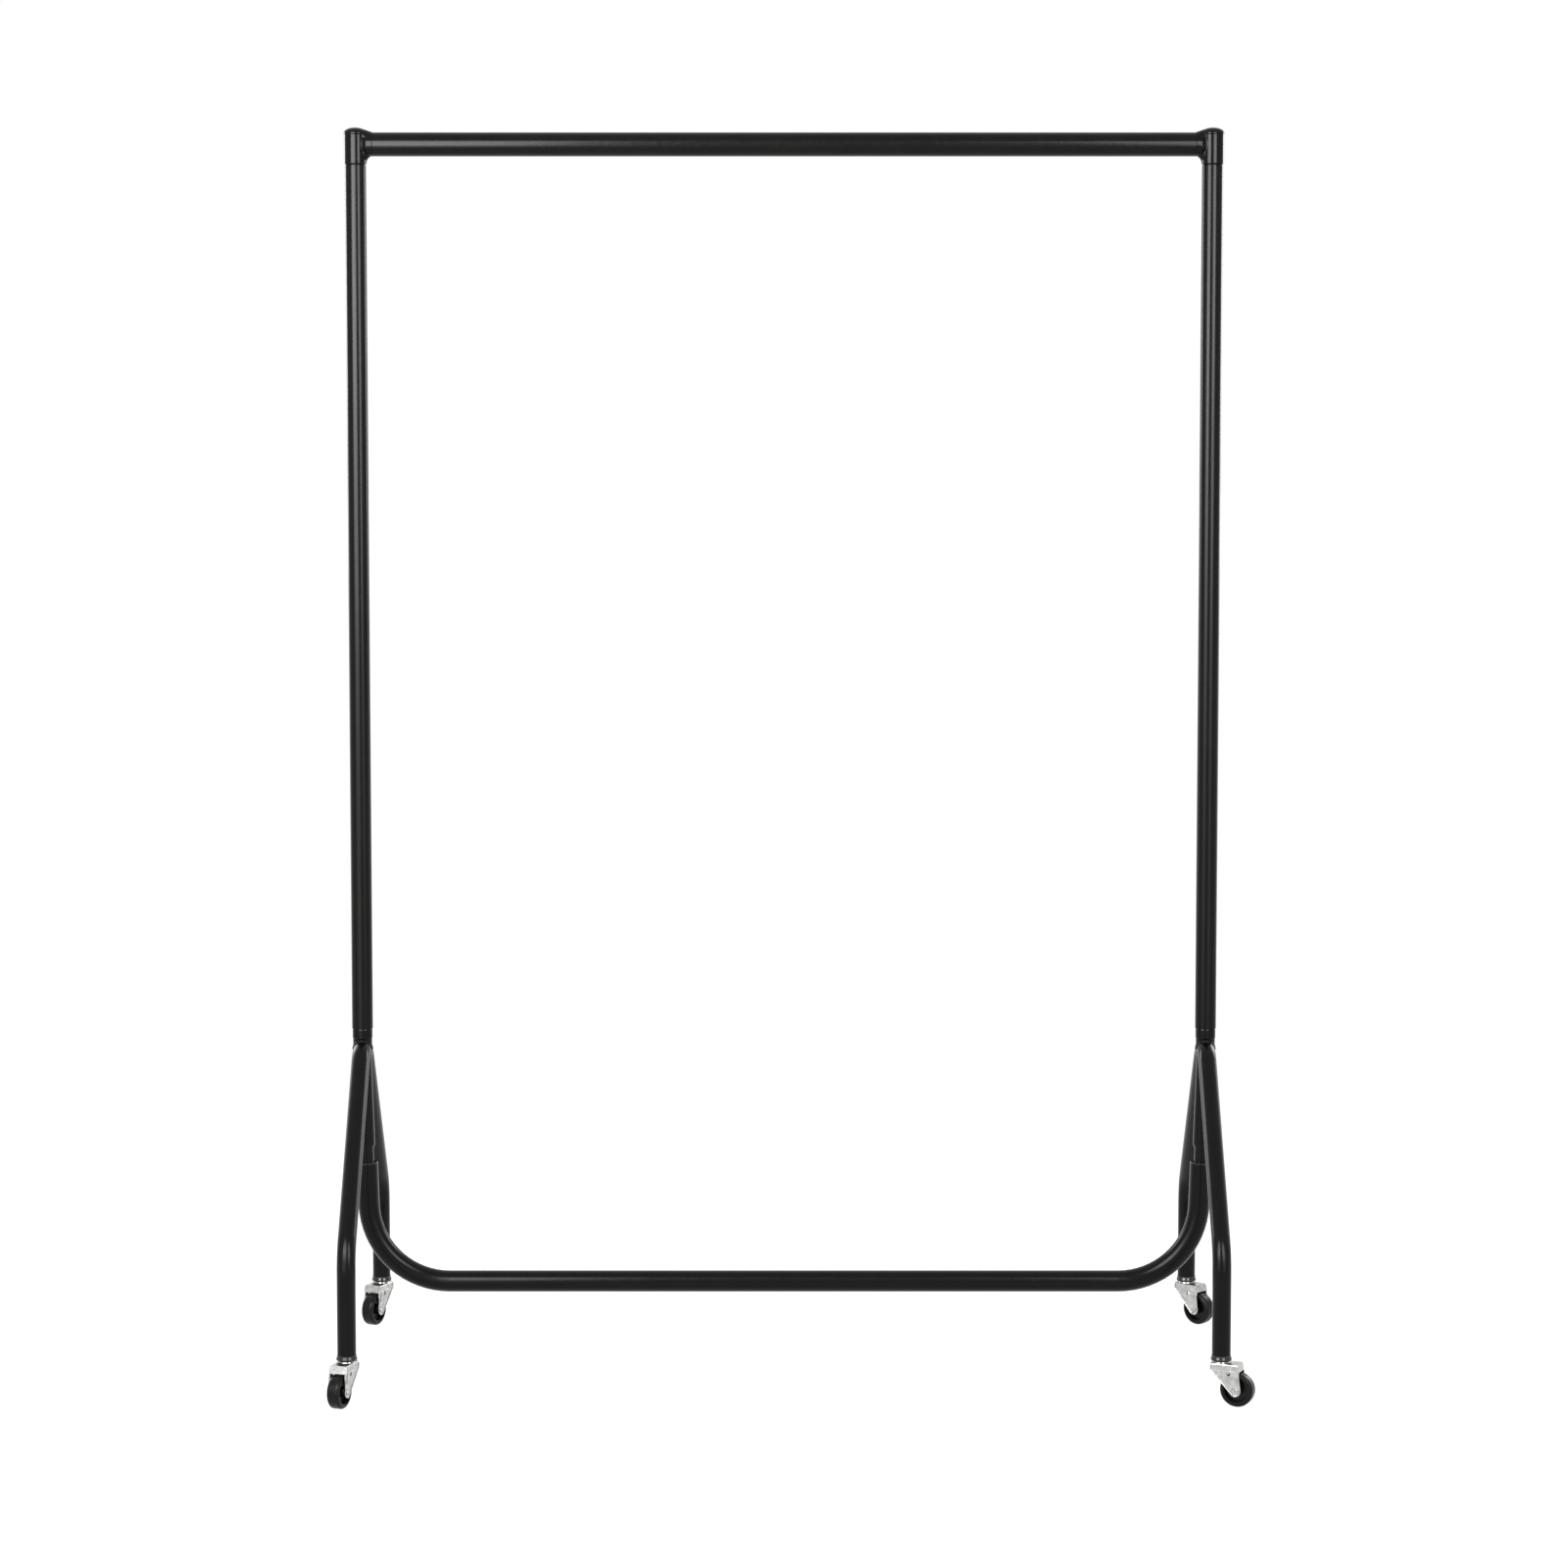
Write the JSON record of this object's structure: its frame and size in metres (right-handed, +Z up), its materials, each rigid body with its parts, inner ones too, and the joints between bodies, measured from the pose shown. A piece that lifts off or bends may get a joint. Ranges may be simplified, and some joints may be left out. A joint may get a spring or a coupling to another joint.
{
  "type": "rolling clothes rack",
  "caption": "Freestanding tubular clothes rack with a straight hanging rail, bent inverted-V legs, a low upturned base rail and swivel casters.",
  "frame": {"origin": "on the floor, midway between the four caster swivel axes", "axes": "+X along the hanging rail to the right as seen from the front, -Y the front, +Z up"},
  "size_m": [1.3248, 0.5743, 1.827],
  "materials": {
    "black_powder_coat": "satin gloss powder coat",
    "gloss_black_plastic": "moulded, glossy",
    "matte_black_plastic": "moulded, semi-matte",
    "zinc_plated_steel": "bright zinc plate",
    "bearing_steel": "polished",
    "wheel_plastic": "moulded",
    "wheel_tread": "smooth tread"
  },
  "bodies": {
    "frame": {"top_rail": "black_powder_coat", "base_rail": "black_powder_coat", "left_corner_elbow": "gloss_black_plastic", "left_upright": "black_powder_coat", "left_upright_stub": "black_powder_coat", "left_upright_bushing": "gloss_black_plastic", "left_leg_tube": "black_powder_coat", "left_centre_post": "black_powder_coat", "left_post_bush": "matte_black_plastic", "left_front_stem_socket": "matte_black_plastic", "left_front_caster_stem": "zinc_plated_steel", "left_front_race_cover": "zinc_plated_steel", "left_rear_stem_socket": "matte_black_plastic", "left_rear_caster_stem": "zinc_plated_steel", "left_rear_race_cover": "zinc_plated_steel", "right_corner_elbow": "gloss_black_plastic", "right_upright": "black_powder_coat", "right_upright_stub": "black_powder_coat", "right_upright_bushing": "gloss_black_plastic", "right_leg_tube": "black_powder_coat", "right_centre_post": "black_powder_coat", "right_post_bush": "matte_black_plastic", "right_front_stem_socket": "matte_black_plastic", "right_front_caster_stem": "zinc_plated_steel", "right_front_race_cover": "zinc_plated_steel", "right_rear_stem_socket": "matte_black_plastic", "right_rear_caster_stem": "zinc_plated_steel", "right_rear_race_cover": "zinc_plated_steel"},
    "left_front_swivel": {"left_front_race_balls": "bearing_steel", "left_front_caster_fork": "zinc_plated_steel", "left_front_axle_rivet": "zinc_plated_steel"},
    "left_front_wheel": {"left_front_wheel_hub": "wheel_plastic", "left_front_tyre": "wheel_tread"},
    "left_rear_swivel": {"left_rear_race_balls": "bearing_steel", "left_rear_caster_fork": "zinc_plated_steel", "left_rear_axle_rivet": "zinc_plated_steel"},
    "left_rear_wheel": {"left_rear_wheel_hub": "wheel_plastic", "left_rear_tyre": "wheel_tread"},
    "right_front_swivel": {"right_front_race_balls": "bearing_steel", "right_front_caster_fork": "zinc_plated_steel", "right_front_axle_rivet": "zinc_plated_steel"},
    "right_front_wheel": {"right_front_wheel_hub": "wheel_plastic", "right_front_tyre": "wheel_tread"},
    "right_rear_swivel": {"right_rear_race_balls": "bearing_steel", "right_rear_caster_fork": "zinc_plated_steel", "right_rear_axle_rivet": "zinc_plated_steel"},
    "right_rear_wheel": {"right_rear_wheel_hub": "wheel_plastic", "right_rear_tyre": "wheel_tread"}
  },
  "joints": [
    {"name": "left_front_swivel_turn", "type": "hinge", "parent": "frame", "child": "left_front_swivel", "pos_m": [-0.625, -0.254, 0.062], "axis": [0, 0, 1], "continuous": true},
    {"name": "left_front_wheel_spin", "type": "hinge", "parent": "left_front_swivel", "child": "left_front_wheel", "pos_m": [-0.63348, -0.2773, 0.0245], "axis": [0.9397, -0.342, 0], "continuous": true},
    {"name": "left_rear_swivel_turn", "type": "hinge", "parent": "frame", "child": "left_rear_swivel", "pos_m": [-0.625, 0.254, 0.062], "axis": [0, 0, 1], "continuous": true},
    {"name": "left_rear_wheel_spin", "type": "hinge", "parent": "left_rear_swivel", "child": "left_rear_wheel", "pos_m": [-0.63509, 0.23134, 0.0245], "axis": [0.9135, -0.4067, 0], "continuous": true},
    {"name": "right_front_swivel_turn", "type": "hinge", "parent": "frame", "child": "right_front_swivel", "pos_m": [0.625, -0.254, 0.062], "axis": [0, 0, 1], "continuous": true},
    {"name": "right_front_wheel_spin", "type": "hinge", "parent": "right_front_swivel", "child": "right_front_wheel", "pos_m": [0.64766, -0.26409, 0.0245], "axis": [0.4067, 0.9135, 0], "continuous": true},
    {"name": "right_rear_swivel_turn", "type": "hinge", "parent": "frame", "child": "right_rear_swivel", "pos_m": [0.625, 0.254, 0.062], "axis": [0, 0, 1], "continuous": true},
    {"name": "right_rear_wheel_spin", "type": "hinge", "parent": "right_rear_swivel", "child": "right_rear_wheel", "pos_m": [0.64284, 0.23677, 0.0245], "axis": [0.6947, 0.7193, 0], "continuous": true}
  ]
}
